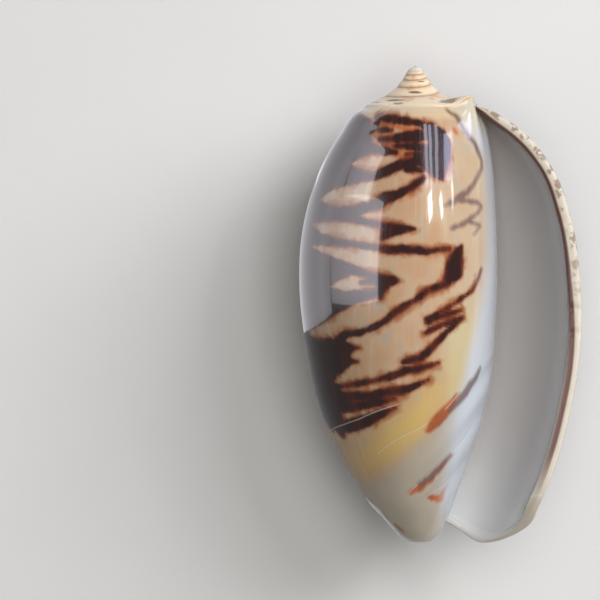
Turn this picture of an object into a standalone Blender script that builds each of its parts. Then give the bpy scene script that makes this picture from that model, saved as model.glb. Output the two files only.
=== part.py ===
"""Olive shell: one solid of natural shell, lying on its back with the mouth (the aperture) up.

The wall is one spiral sheet that winds round an axis. Its outside runs from deep inside the mouth, over the
columella, round the back and out to the free lip; its inside runs back from the lip to the deep end. Both are
lofted here from a few outlines that are a quarter turn apart.

Frame in metres: +Y along the shell's axis towards the pointed spire, +X towards the lip, +Z up, out of the
mouth. The origin is the middle of the small flat spot that the shell rests on.
"""

import math

import bmesh
import bpy
import numpy as np

MM = 0.001

# Driving dimensions, in millimetres. Heights are measured along the axis from the front (anterior) end.
LENGTH = 50.0
SHOULDER_HEIGHT = 45.8
FOOT_HEIGHT = 1.3
FOOT_BLEND_HEIGHT = 5.0
WALL = 1.35
LIP_BULGE = 0.45

# Growth angles, in degrees. 0 is the side with the mouth, 90 the left side, 180 the back, 270 the right side.
QUARTER = 90.0
TURN = 360.0
LIP_ANGLE = 288.0
NOTCH_ANGLE = 162.0
DEEP_ANGLE = -36.0
COLUMN_STEP = 9.0

# Outlines as (height, radius): the columella at -90 degrees, the left side at 90 and the lip at 270.
COLUMELLA_SIDE = [(0, 2.2), (2.2, 2.95), (4.7, 4.1), (9.1, 5.7), (13.3, 7.0), (17.1, 7.8), (25.9, 8.3),
                  (34.7, 8.2), (40.6, 7.8), (43.7, 7.3), (45.8, 6.5)]
LEFT_SIDE = [(0, 2.4), (2.3, 3.4), (4.1, 4.8), (6.6, 6.3), (9.2, 7.9), (14.2, 9.95), (19.2, 11.1), (26.7, 12.05),
             (31.7, 11.9), (36.8, 10.8), (40.5, 9.3), (43.0, 7.8), (44.9, 6.5), (45.8, 5.5)]
LIP_SIDE = [(0, 8.2), (1.6, 10.5), (4.1, 12.3), (9.2, 14.7), (14.2, 16.1), (21.7, 17.2), (26.7, 17.15),
            (34.3, 16.1), (39.3, 14.2), (43.0, 11.3), (44.5, 9.3), (45.3, 8.1), (45.8, 7.5)]
SPIRE = [(45.8, 5.4), (46.6, 3.6), (47.4, 2.35), (48.3, 1.5), (49.1, 1.0), (49.6, 0.7)]
FOOT = [(0, 0.0), (0.15, 0.95), (0.4, 1.45), (0.8, 1.95), (1.3, 2.4), (2.3, 3.1), (5.0, 5.2)]

# The free edge: how far the lip stands from LIP_ANGLE at each height, and how low the wall reaches at each angle.
LIP_SHIFT = [(0, 2), (3, 5), (6, 5), (10, 2), (20, -3), (30, -5), (38, -3), (43, 0), (45.8, 2)]
WALL_FOOT = [(162, 1.3), (172, 2.3), (182, 2.9), (192, 3.0), (202, 2.8), (212, 2.3), (222, 1.7), (232, 1.15),
             (242, 0.7), (252, 0.4), (262, 0.35), (270, 0.65), (279, 1.7), (288, 3.6)]
FOOT_LEAN = 0.3
FOOT_LEAN_HEIGHT = 4.0

# The hollow: its roof and its floor in height at each angle, and how softly its ends are rounded.
ROOF = [(-36, 36.0), (90, 40.5), (180, 43.0), (240, 44.6), (288, 45.8)]
FLOOR = [(-36, 15.0), (90, 9.0), (130, 5.0), (162, 1.3)]
ROOF_ROUNDING = 7.0
FLOOR_ROUNDING = 6.0
DEEP_ROUNDING = 70.0
NOTCH_OPENING = 22.0

# The callus: a smooth ridge that runs up beside the mouth and stands above the shoulder.
CALLUS_ANGLE = -53.0
CALLUS_WIDTH = 10.0
CALLUS_HEIGHT = 0.55
CALLUS_RISE = 0.95
CALLUS_REACH = 7.0
CALLUS_SHELF = 0.5
RING_BULGE = 1.3

# Where the shell's axis lies in the frame, above the flat spot that is worn to Z = 0.
AXIS_X = -1.6
AXIS_HEIGHT = 14.25
MIDDLE = 27.1

BODY_ROWS = 32
SPIRE_ROWS = 9
FOOT_ROWS = 4
WELD = 2e-6
SNAP = 3e-5


def smoothstep(x):
    """0 below 0, 1 above 1, and smooth between."""
    x = np.clip(x, 0.0, 1.0)
    return x * x * (3.0 - 2.0 * x)


def curve(points, x):
    """The smooth curve through the points, read at x."""
    px, py = np.array(points, float).T
    slope = np.gradient(py, px)
    x = np.clip(x, px[0], px[-1])
    i = np.clip(np.searchsorted(px, x, side="right") - 1, 0, len(px) - 2)
    span = px[i + 1] - px[i]
    t = (x - px[i]) / span
    start = (1 + 2 * t) * (1 - t) ** 2 * py[i] + t * (1 - t) ** 2 * span * slope[i]
    return start + t * t * (3 - 2 * t) * py[i + 1] + t * t * (t - 1) * span * slope[i + 1]


def near_lip(column):
    """1 at the lip's columns, 0 at 100 degrees from them."""
    away = np.abs((column - LIP_ANGLE + 180.0) % TURN - 180.0)
    return 1.0 - smoothstep(away / 100.0)


def angle_of(column, height):
    """The true growth angle of a column at a height: columns lean to follow the lip's edge."""
    return column + curve(LIP_SHIFT, height) * near_lip(column)


def spiral_radius(angle, height):
    """The radius of the outside, from the outlines at each quarter turn."""
    inner = curve(COLUMELLA_SIDE, height)
    left = curve(LEFT_SIDE, height)
    lip = curve(LIP_SIDE, height)
    stations = np.stack([
        inner * inner / left,
        inner * np.sqrt(inner / left),
        inner,
        np.sqrt(inner * left),
        left,
        np.sqrt(left * lip),
        lip,
        lip * np.sqrt(lip / left),
        lip * lip / left,
    ])
    first = -3 * QUARTER
    place = (angle - first) / QUARTER
    i = np.clip(np.floor(place).astype(int), 0, len(stations) - 2)
    t = place - i
    before = np.maximum(i - 1, 0)
    after = np.minimum(i + 2, len(stations) - 1)
    value = [np.take_along_axis(stations, k[None], axis=0)[0] for k in (before, i, i + 1, after)]
    a, b, c, d = value
    return b + 0.5 * t * (c - a + t * (2 * a - 5 * b + 4 * c - d + t * (3 * (b - c) + d - a)))


def shoulder_radius(angle):
    """The closed ring where the body meets the spire, wider on the side of the mouth."""
    return curve(SPIRE, SHOULDER_HEIGHT) + RING_BULGE * near_lip(angle)


def callus(angle, height):
    """How strongly the callus ridge shows, from 0 to 1."""
    away = ((angle - CALLUS_ANGLE + 180.0) % TURN - 180.0) / CALLUS_WIDTH
    reach = np.where(height < SHOULDER_HEIGHT, CALLUS_REACH, CALLUS_SHELF)
    along = np.abs(SHOULDER_HEIGHT - height) / reach
    return np.exp(-away ** 2) * np.exp(-along ** 1.5)


def outside_radius(column, height):
    """The radius of the outside, with the shoulder's ring at the top and the columella's tip at the bottom."""
    angle = angle_of(column, height)
    radius = spiral_radius(angle, height)
    to_ring = smoothstep((height - 44.8) / (SHOULDER_HEIGHT - 44.8)) ** 2
    radius = radius + (shoulder_radius(angle) - radius) * to_ring
    to_foot = smoothstep((FOOT_BLEND_HEIGHT - height) / (FOOT_BLEND_HEIGHT - FOOT_HEIGHT))
    to_foot = to_foot * (1.0 - smoothstep((column - NOTCH_ANGLE) / 35.0))
    radius = radius + (curve(FOOT, height) - radius) * to_foot
    return radius + CALLUS_HEIGHT * callus(angle, height)


def hollow_share(column, height):
    """1 in the open hollow, 0 where it ends: at its roof, its floor and its deep end."""
    roof = (curve(ROOF, column) - height) / ROOF_ROUNDING
    floor = np.where(column < NOTCH_ANGLE, curve(FLOOR, column), curve(WALL_FOOT, column))
    lift = FLOOR_ROUNDING * smoothstep((column - NOTCH_ANGLE) / NOTCH_OPENING)
    up = (height - floor + lift) / FLOOR_ROUNDING
    deep = (column - DEEP_ANGLE) / DEEP_ROUNDING
    share = np.ones_like(height)
    for x in (roof, up, deep):
        share = share * np.sqrt(1.0 - (1.0 - np.clip(x, 0.0, 1.0)) ** 2)
    return share


def inside_radius(column, height):
    """The radius of the wall's inside: the whorl within, plus the hollow."""
    within = outside_radius(column - TURN, height)
    between = outside_radius(column, height) - within
    room = np.maximum(between - WALL, 0.4 * between)
    return within + room * hollow_share(column, height)


def place(column, radius, height):
    """Points in the frame, in millimetres, as rows of x, y, z. The shell lies with its axis level."""
    angle = angle_of(column, height)
    rise = CALLUS_RISE * callus(angle, height) * smoothstep((height - 43.0) / 2.8)
    angle = np.radians(angle)
    lean = FOOT_LEAN * smoothstep(1.0 - height / FOOT_LEAN_HEIGHT)
    x = AXIS_X + lean - radius * np.sin(angle)
    z = AXIS_HEIGHT + radius * np.cos(angle)
    y = height + rise - MIDDLE
    return np.stack([x, y, z], axis=-1)


def rows_between(low, high, count):
    """Heights from low to high for each column, closer together at both ends."""
    share = np.linspace(0.0, 1.0, count + 1)
    share = 0.5 * share + 0.5 * smoothstep(share)
    return low[:, None] + (high - low)[:, None] * share[None, :]


def columns(start, end):
    return np.arange(round((end - start) / COLUMN_STEP) + 1) * COLUMN_STEP + start


def sheet(at, low, high, radius, offset=0.0):
    """A grid of points, one line of them for each column, between two heights."""
    heights = rows_between(low, high, BODY_ROWS)
    at = np.repeat((at + offset)[:, None], heights.shape[1], axis=1)
    return place(at, radius(at, heights), heights)


def outer_sheet():
    at = columns(LIP_ANGLE - TURN, LIP_ANGLE)
    low = np.where(at < NOTCH_ANGLE, FOOT_HEIGHT, curve(WALL_FOOT, at))
    return sheet(at, low, np.full_like(at, SHOULDER_HEIGHT), outside_radius)


def columella_sheet():
    """The part of the outside that the mouth shows: the whorl within, down to the deep end."""
    at = columns(DEEP_ANGLE, LIP_ANGLE)
    low = np.where(at < NOTCH_ANGLE, curve(FLOOR, at), FOOT_HEIGHT)
    return sheet(at, low, curve(ROOF, at), outside_radius, -TURN)


def inner_sheet():
    at = columns(DEEP_ANGLE, LIP_ANGLE)
    low = np.where(at < NOTCH_ANGLE, curve(FLOOR, at), curve(WALL_FOOT, at))
    return sheet(at, low, curve(ROOF, at), inside_radius)


def edge_strip(outer, inner):
    """The rounded free edge: down the lip, then along the foot of the wall to the columella."""
    notch = round((LIP_ANGLE - NOTCH_ANGLE) / COLUMN_STEP)

    def free_edge(grid, back):
        lip = grid[-1 - back, ::-1]
        foot = grid[-2:-2 - notch:-1, back]
        return np.concatenate([lip, foot])

    out_edge, in_edge = free_edge(outer, 0), free_edge(inner, 0)
    beyond = (out_edge - free_edge(outer, 1)) + (in_edge - free_edge(inner, 1))
    beyond = beyond / np.maximum(np.linalg.norm(beyond, axis=1, keepdims=True), 1e-9)
    thick = np.linalg.norm(out_edge - in_edge, axis=1, keepdims=True)
    bulge = beyond * LIP_BULGE * np.minimum(thick / WALL, 1.0)
    strip = [out_edge]
    for share in (0.25, 0.75):
        round_off = math.sin(math.pi * share) / math.sin(math.pi * 0.25)
        strip.append(out_edge + (in_edge - out_edge) * share + bulge * round_off)
    strip.append(in_edge)
    return np.stack(strip)


def spire_sheet():
    """The low, pointed spire above the shoulder."""
    at = columns(LIP_ANGLE - TURN, LIP_ANGLE)
    share = np.linspace(0.0, 1.0, SPIRE_ROWS + 1)
    heights = SHOULDER_HEIGHT + (49.6 - SHOULDER_HEIGHT) * share
    heights, at = np.meshgrid(heights, at)
    wide = shoulder_radius(angle_of(at, heights)) / curve(SPIRE, SHOULDER_HEIGHT)
    fade = np.clip((47.0 - heights) / (47.0 - SHOULDER_HEIGHT), 0.0, 1.0)
    radius = curve(SPIRE, heights) * (1.0 + (wide - 1.0) * fade)
    radius = radius + CALLUS_HEIGHT * callus(angle_of(at, heights), heights) * fade
    return place(at, radius, heights)


def foot_sheet():
    """The blunt tip of the columella, below the notch."""
    at = columns(NOTCH_ANGLE - TURN, NOTCH_ANGLE)
    share = np.linspace(0.0, 1.0, FOOT_ROWS + 1)[:-1]
    heights = FOOT_HEIGHT * (1.0 - np.sin(share * math.pi / 2))
    heights, at = np.meshgrid(heights, at)
    return place(at, outside_radius(at, heights), heights)


def add_grid(bm, grid, flip=False):
    """Quads between neighbouring points of a grid."""
    verts = [[bm.verts.new(point * MM) for point in line] for line in grid]
    for left, right in zip(verts, verts[1:]):
        for i in range(len(left) - 1):
            face = [left[i], right[i], right[i + 1], left[i + 1]]
            bm.faces.new(face[::-1] if flip else face)
    return verts


def close_ring(bm, ring, tip):
    """A fan from the last points of a closed grid to one tip."""
    point = bm.verts.new(tip * MM)
    for left, right in zip(ring, ring[1:]):
        bm.faces.new([left, right, point])


def wear_flat(bm):
    """Cuts the small flat spot at the bottom, and closes it with one flat face."""
    geometry = bm.verts[:] + bm.edges[:] + bm.faces[:]
    cut = bmesh.ops.bisect_plane(bm, geom=geometry, dist=SNAP, plane_co=(0, 0, 0), plane_no=(0, 0, -1),
                                 clear_outer=True)
    rim = [part for part in cut["geom_cut"] if isinstance(part, bmesh.types.BMEdge)]
    for edge in rim:
        for vert in edge.verts:
            vert.co.z = 0.0
    bmesh.ops.contextual_create(bm, geom=rim)


def build_shell():
    bm = bmesh.new()
    outer, inner = outer_sheet(), inner_sheet()
    add_grid(bm, outer)
    add_grid(bm, columella_sheet())
    add_grid(bm, inner, flip=True)
    add_grid(bm, edge_strip(outer, inner))
    spire = add_grid(bm, spire_sheet())
    close_ring(bm, [line[-1] for line in spire], place(0.0, 0.0, LENGTH))
    foot = add_grid(bm, foot_sheet(), flip=True)
    close_ring(bm, [line[-1] for line in foot], place(0.0, 0.0, 0.0))
    bmesh.ops.remove_doubles(bm, verts=bm.verts, dist=WELD)
    bmesh.ops.dissolve_degenerate(bm, edges=bm.edges, dist=WELD)
    bmesh.ops.recalc_face_normals(bm, faces=bm.faces)
    wear_flat(bm)
    mesh = bpy.data.meshes.new("shell")
    bm.to_mesh(mesh)
    bm.free()
    mesh.shade_smooth()
    return mesh


def shell_material():
    material = bpy.data.materials.new("glossy_shell")
    material.use_nodes = True
    surface = material.node_tree.nodes["Principled BSDF"]
    surface.inputs["Base Color"].default_value = (0.62, 0.47, 0.30, 1.0)
    surface.inputs["Roughness"].default_value = 0.18
    surface.inputs["Metallic"].default_value = 0.0
    return material


def main():
    for obj in list(bpy.data.objects):
        bpy.data.objects.remove(obj)
    group = bpy.data.collections.new("olive_shell")
    bpy.context.scene.collection.children.link(group)
    shell = bpy.data.objects.new("shell", build_shell())
    shell.data.materials.append(shell_material())
    group.objects.link(shell)


main()
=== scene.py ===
"""The looks of the olive shell: one glossy natural shell that lies on its back with its mouth up.

The shell is one spiral sheet, so every point on it has a growth angle and a height along the axis. The
markings are strokes in those two coordinates, and the shader colours the surface by its distance to them.
"""

import math

import bmesh
import bpy
import numpy as np
from mathutils import Matrix, Vector

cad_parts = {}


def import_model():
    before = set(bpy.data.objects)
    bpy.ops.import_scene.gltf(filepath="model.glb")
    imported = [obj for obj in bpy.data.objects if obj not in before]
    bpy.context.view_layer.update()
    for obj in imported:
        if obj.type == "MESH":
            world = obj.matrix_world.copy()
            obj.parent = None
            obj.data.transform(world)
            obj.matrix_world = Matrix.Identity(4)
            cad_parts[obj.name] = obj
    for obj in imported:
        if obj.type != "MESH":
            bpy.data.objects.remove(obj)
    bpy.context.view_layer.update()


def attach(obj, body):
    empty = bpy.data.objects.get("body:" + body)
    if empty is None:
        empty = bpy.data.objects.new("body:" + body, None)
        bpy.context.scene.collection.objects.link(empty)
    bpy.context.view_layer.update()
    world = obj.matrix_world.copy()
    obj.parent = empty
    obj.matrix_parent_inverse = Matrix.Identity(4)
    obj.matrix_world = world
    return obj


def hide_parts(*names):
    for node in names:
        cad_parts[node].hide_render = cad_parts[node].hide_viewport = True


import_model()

MM = 0.001

# Driving dimensions of the shell, in millimetres, as in the part's solids.
LENGTH = 50.0
SHOULDER_HEIGHT = 45.8
FOOT_HEIGHT = 1.3
FOOT_BLEND_HEIGHT = 5.0
WALL = 1.35
LIP_BULGE = 0.45
QUARTER = 90.0
TURN = 360.0
LIP_ANGLE = 288.0
LIP_REACH = 100.0
NOTCH_ANGLE = 162.0
DEEP_ANGLE = -36.0
COLUMELLA_SIDE = [(0, 2.2), (2.2, 2.95), (4.7, 4.1), (9.1, 5.7), (13.3, 7), (17.1, 7.8), (25.9, 8.3),
    (34.7, 8.2), (40.6, 7.8), (43.7, 7.3), (45.8, 6.5)]
LEFT_SIDE = [(0, 2.4), (2.3, 3.4), (4.1, 4.8), (6.6, 6.3), (9.2, 7.9), (14.2, 9.95), (19.2, 11.1),
    (26.7, 12.05), (31.7, 11.9), (36.8, 10.8), (40.5, 9.3), (43, 7.8), (44.9, 6.5), (45.8, 5.5)]
LIP_SIDE = [(0, 8.2), (1.6, 10.5), (4.1, 12.3), (9.2, 14.7), (14.2, 16.1), (21.7, 17.2), (26.7, 17.15),
    (34.3, 16.1), (39.3, 14.2), (43, 11.3), (44.5, 9.3), (45.3, 8.1), (45.8, 7.5)]
SPIRE = [(45.8, 5.4), (46.6, 3.6), (47.4, 2.35), (48.3, 1.5), (49.1, 1), (49.6, 0.7)]
FOOT = [(0, 0), (0.15, 0.95), (0.4, 1.45), (0.8, 1.95), (1.3, 2.4), (2.3, 3.1), (5, 5.2)]
LIP_SHIFT = [(0, 2), (3, 5), (6, 5), (10, 2), (20, -3), (30, -5), (38, -3), (43, 0), (45.8, 2)]
WALL_FOOT = [(162, 1.3), (172, 2.3), (182, 2.9), (192, 3), (202, 2.8), (212, 2.3), (222, 1.7), (232, 1.15),
    (242, 0.7), (252, 0.4), (262, 0.35), (270, 0.65), (279, 1.8), (284, 2.9), (288, 4.6)]
FOOT_LEAN = 0.3
FOOT_LEAN_HEIGHT = 4.0
ROOF = [(-36, 36), (90, 40.5), (180, 43), (240, 44.6), (288, 45.8)]
FLOOR = [(-36, 15), (90, 9), (130, 5), (162, 1.3)]
ROOF_ROUNDING = 7.0
FLOOR_ROUNDING = 6.0
DEEP_ROUNDING = 70.0
NOTCH_OPENING = 22.0
CALLUS_ANGLE = -53.0
CALLUS_WIDTH = 10.0
CALLUS_HEIGHT = 0.55
CALLUS_RISE = 0.95
CALLUS_REACH = 7.0
CALLUS_SHELF = 0.5
RING_BULGE = 1.3
RING_START = 44.8
SPIRE_TOP = 49.6
SPIRE_ROUND = 47.0
SPIRE_SWELL = 0.16
FOOT_FADE = 35.0
AXIS_X = -1.6
AXIS_HEIGHT = 14.25
MIDDLE = 27.1

# How finely this model follows those forms.
COLUMN_STEP = 1.5
OUTER_ROWS = 200
SPIRE_ROWS = 44
FOOT_ROWS = 8
STRIP_ROWS = 9
WELD = 2e-6

# The photograph's frame: where the shell's axis and front end stand in it.
PIXELS_PER_MM = 9.56
AXIS_PIXEL = 415.5
FRONT_PIXEL = 543.5
FRAME_PIXELS = 600
CAMERA_DISTANCE = 1200.0

# Markings on the mouth side. Each row is one stroke: across, height and width in mm, point after point.
# Across is counted from the axis to the lip.
FRONT_INK = [
    (-4.1, 44.5, 0.6, -3.2, 44.4, 0.9, -1.5, 44.15, 0.85, 0, 43.9, 0.7, 0.9, 43.75, 0.5),
    (-3.8, 43.2, 0.6, -3.2, 43.2, 0.6, -2.6, 43.1, 0.35),
    (-7.4, 43.2, 1.6, -5.8, 43.2, 1.4, -4.6, 43.3, 1.2, -4, 43.9, 0.8),
    (-8.4, 41.4, 2.4, -6.6, 41.6, 1.9, -5.2, 41.4, 1.5, -4.2, 41.1, 1),
    (-3.8, 42.15, 0.5, -2.6, 42.2, 0.8, -1.2, 42.4, 1.1, 0, 42.5, 1.4, 0.9, 42.6, 1.2),
    (-4, 41, 0.9, -3.1, 41, 0.95, -2.2, 40.8, 0.6),
    (-2.4, 41.45, 0.4, -1.2, 41.5, 0.7, 0, 41.35, 1, 0.9, 41.2, 1),
    (-1.1, 40.6, 0.3, 0, 40.7, 0.5, 0.9, 40.8, 0.5),
    (-8, 38.1, 1.2, -6.6, 38.2, 1, -5.4, 38.2, 0.9, -4.2, 38.45, 0.95, -3.2, 38.85, 1.1, -2.2, 39.3, 1.1,
     -1.2, 39.7, 1.1, 0, 39.9, 1.1, 0.8, 40, 0.8),
    (-1, 39.2, 0.9, -0.2, 39.1, 0.8, 0.6, 38.9, 0.5),
    (-9.6, 34.6, 1.9, -8, 34.4, 1.5, -6.6, 34.7, 1.3, -5, 35.15, 1.1, -4, 35.4, 1.3, -3.2, 36, 1.3,
     -2, 36.4, 0.95, -0.8, 37, 0.85, 0, 37.6, 0.8, 0.8, 38.2, 0.5),
    (-7.6, 34.1, 1, -6.4, 33.9, 0.8, -5.3, 33.6, 0.7, -4.2, 33.35, 0.8, -3.2, 33.1, 1, -1.8, 32.95, 0.9,
     -0.9, 32.85, 0.7, -0.2, 32.85, 0.3),
    (0.8, 43.6, 0.9, 1.5, 43.2, 1.5, 2.1, 42.5, 2.2, 2.4, 41.6, 2.6, 2.3, 40.6, 2.8, 2.2, 39.6, 2.5,
     2.3, 38.8, 1.6, 2.6, 38.3, 0.8),
    (0.2, 40.3, 1.4, 1.2, 39.6, 1.6, 1.9, 38.9, 1.4),
    (-3.6, 31.9, 0.6, -3.1, 32.5, 1.4, -2, 32.7, 1, -1.2, 32.75, 0.7),
    (-10.6, 31.9, 1.2, -9, 31.6, 0.9, -7, 31.3, 0.75, -5.5, 31.1, 0.7, -3.9, 30.9, 0.7, -2.8, 30.65, 0.9,
     -1.5, 30.75, 0.85, 0, 30.65, 0.9, 1, 30.5, 0.8, 2.2, 30.7, 0.5, 3.4, 30.8, 0.5),
    (4.7, 31, 0.5, 4.4, 30.4, 1.2, 4.1, 29.5, 2, 3.9, 28.5, 2.1, 3.3, 27.5, 1.3, 3.1, 27.1, 0.8),
    (3.1, 27.2, 0.9, 2, 26.8, 0.7, 1, 26.35, 0.8, 0, 25.5, 0.6, -1, 24.95, 0.6, -2, 24.4, 0.75,
     -3, 23.5, 0.75, -3.9, 22.9, 0.6, -4.9, 22.45, 0.6, -5.8, 22.1, 0.6, -7.2, 21.95, 0.8, -8.2, 21.3, 1),
    (-5.4, 28.2, 0.35, -4.5, 27.9, 1, -3.4, 27.45, 1.4, -2.4, 27.5, 1, -1.9, 27.5, 0.4),
    (-3.4, 27.2, 1.5, -3.8, 26.3, 1.1, -3.7, 25.8, 0.7),
    (-5.8, 27.25, 0.3, -5, 27.4, 0.7, -4.2, 27.5, 1),
    (-10.6, 29.7, 1.6, -9.5, 29.4, 1.2, -8, 29.1, 1.1, -6.5, 28.6, 1, -5.2, 28.2, 0.8, -4.2, 27.8, 1),
    (-10.6, 27.5, 1.2, -9.4, 27.6, 1, -8.4, 27.8, 0.7, -7.2, 28.1, 0.4),
    (-4.1, 26.3, 1, -5.4, 26, 1.2, -6.6, 25.7, 1.4, -7.8, 25.4, 2, -8.9, 24.9, 2.4, -9.9, 24, 1.9,
     -10.8, 23.2, 1.4),
    (-10.6, 20.7, 1.5, -9.4, 20.3, 1.9, -8.4, 19.7, 1.8, -9.8, 19.8, 2.2, -9.6, 18.4, 2.5, -9.2, 17, 2.3,
     -9, 15.8, 2.4, -8.6, 14.4, 2.3, -8.2, 13.1, 2.1, -7.9, 12, 1.7, -7.6, 11.4, 0.7),
    (-10.8, 21.2, 0.6, -9, 21, 1.1, -7.6, 20.6, 1.2, -6.7, 20.5, 0.9, -6, 20.5, 0.3),
    (-9, 19.3, 1.6, -8, 19.2, 1.1, -7, 19.05, 0.7, -6.1, 19.1, 0.3),
    (-9, 18.2, 1.4, -8.1, 18, 0.8, -7.5, 18.1, 0.3),
    (-9, 16.3, 0.7, -7, 16.6, 0.5, -5.6, 16.85, 0.65, -4.3, 17.1, 0.5, -3.3, 17.4, 0.75, -2.2, 17.65, 0.7,
     -1.2, 18.1, 0.85, 0.2, 18.35, 0.85, 1.4, 18.65, 0.55, 2.3, 18.95, 0.3),
    (-9, 15.5, 1.3, -7, 15.4, 1.1, -5, 15.45, 1, -3.4, 15.8, 1, -2, 16, 1.1, -1, 16.2, 0.85, 0.2, 16.7, 0.5,
     1.2, 17.2, 0.3),
    (-8.6, 14.3, 1.3, -6.5, 14.4, 1.1, -4.6, 14.7, 0.9, -3.2, 15, 0.7, -2.2, 15.2, 0.45),
    (-8.2, 12.1, 1.2, -6.5, 12.45, 1.4, -5, 13, 1.2, -3.5, 13.7, 0.9, -2.2, 14.3, 0.4),
    (-1.4, 19, 0.35, -0.7, 19.2, 0.85, 0.4, 19.45, 0.9, 1.4, 20.3, 0.75, 2.2, 21.2, 0.75, 3.2, 22.2, 0.5,
     3.9, 22.8, 0.5, 4.9, 23.7, 0.3),
    (0.75, 22, 0.3, 1.5, 22.3, 0.5, 2.6, 22.9, 0.6, 3.8, 23.25, 0.7, 4.9, 23.65, 0.35),
    (1.1, 23.2, 0.5, 2, 23.65, 0.75, 3, 23.9, 0.75, 4, 24.2, 0.5, 4.7, 24.45, 0.25),
    (1, 23.5, 0.35, 2.1, 24, 0.5, 3.1, 24.55, 0.5, 4, 25.15, 0.42, 5, 25.85, 0.4, 5.8, 26.45, 0.33,
     6.3, 27.3, 0.28, 6.65, 28.3, 0.28, 6.8, 28.7, 0.2),
]
# The thin mauve-brown zigzag beside the callus, drawn fainter than the rest. Above about 40 mm it runs in
# the groove beside the callus ridge, and there it is darkened as painted shadow of the ridge.
FRONT_FAINT = [
    (3.3, 45.2, 0.3, 4.2, 44.5, 0.45, 5, 43, 0.4, 5.9, 41.7, 0.4, 6.6, 40, 0.35, 6.65, 39.2, 0.35,
     6.2, 38, 0.4, 5.8, 37.3, 0.45, 5.2, 36.6, 0.6, 4.4, 36.1, 0.75, 3.6, 35.65, 0.5, 3.05, 35.3, 0.3),
    (3.4, 35.4, 0.3, 4.4, 35.85, 0.5, 5.5, 35.75, 0.45, 6.4, 35.6, 0.4, 6.75, 35.2, 0.35, 6.5, 34.7, 0.35,
     5.9, 34.1, 0.42, 5, 33.45, 0.5, 4.2, 33.1, 0.5, 3.7, 32.9, 0.3),
    (4.2, 33.1, 0.3, 5.2, 33.7, 0.35, 6.2, 33.4, 0.45, 6.6, 33.2, 0.45, 6.3, 32.7, 0.33, 6, 32.3, 0.25),
    (3.4, 13.9, 0.5, 4.4, 14.9, 0.8, 5.4, 16.2, 0.9, 6.2, 17.4, 0.7, 6.7, 18.4, 0.3),
    (0.4, 6.3, 0.4, 1.4, 6.9, 0.7, 2.6, 8.2, 0.5, 3.6, 9.3, 0.3),
]
FRONT_RUST = [
    (1.2, 11.9, 0.6, 2, 12.8, 1.2, 2.8, 13.6, 1.2, 3.5, 14.5, 0.9, 4.3, 15.6, 0.4),
    (-0.7, 5.35, 0.25, 0.4, 5.9, 0.7, 1.4, 6.6, 0.4, 2.6, 8, 0.25, 3.9, 9.4, 0.15),
    (1.25, 4.95, 0.3, 2.1, 4.8, 0.6, 2.6, 4.8, 0.8, 2.95, 5.6, 0.4, 3.3, 6.2, 0.2),
    (-2.3, 1.9, 0.2, -1.8, 1.4, 0.3),
    (-4, 43.9, 0.2, -2.6, 43.65, 0.25, -0.9, 43.2, 0.4, 0.3, 43.1, 0.4),
    (-3.6, 41.75, 0.2, -2.6, 41.65, 0.25, -1.6, 41.2, 0.2),
    (-2.6, 40.6, 0.2, -1.6, 40.4, 0.2, -0.6, 40.35, 0.15),
    (4, 43.2, 0.3, 4.15, 42.9, 0.3),
]
# Grooves: the shader cuts each with a bump and paints a white highlight along it.
FRONT_GROOVES = [
    (-8.8, 11.9, 0.14, -7.5, 12.5, 0.14, -6, 13.05, 0.16, -4.5, 13.75, 0.18, -3.3, 14.2, 0.16,
     -2.2, 14.55, 0.08),
    (-3.7, 9.7, 0.12, -2, 11, 0.16, 0, 12, 0.12, 0.8, 12.5, 0.08),
    (1.3, 5.1, 0.06, 2.6, 6, 0.1, 4.2, 7.6, 0.1, 5.4, 9.2, 0.06),
    (-0.5, 5.6, 0.05, 1.2, 7.2, 0.1, 3.4, 9.3, 0.12, 4.6, 10.5, 0.16, 5.8, 12.2, 0.08),
    (3.3, 14.4, 0.06, 4.4, 15.7, 0.14, 5.5, 17, 0.22, 6.5, 18.3, 0.14),
]

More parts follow.
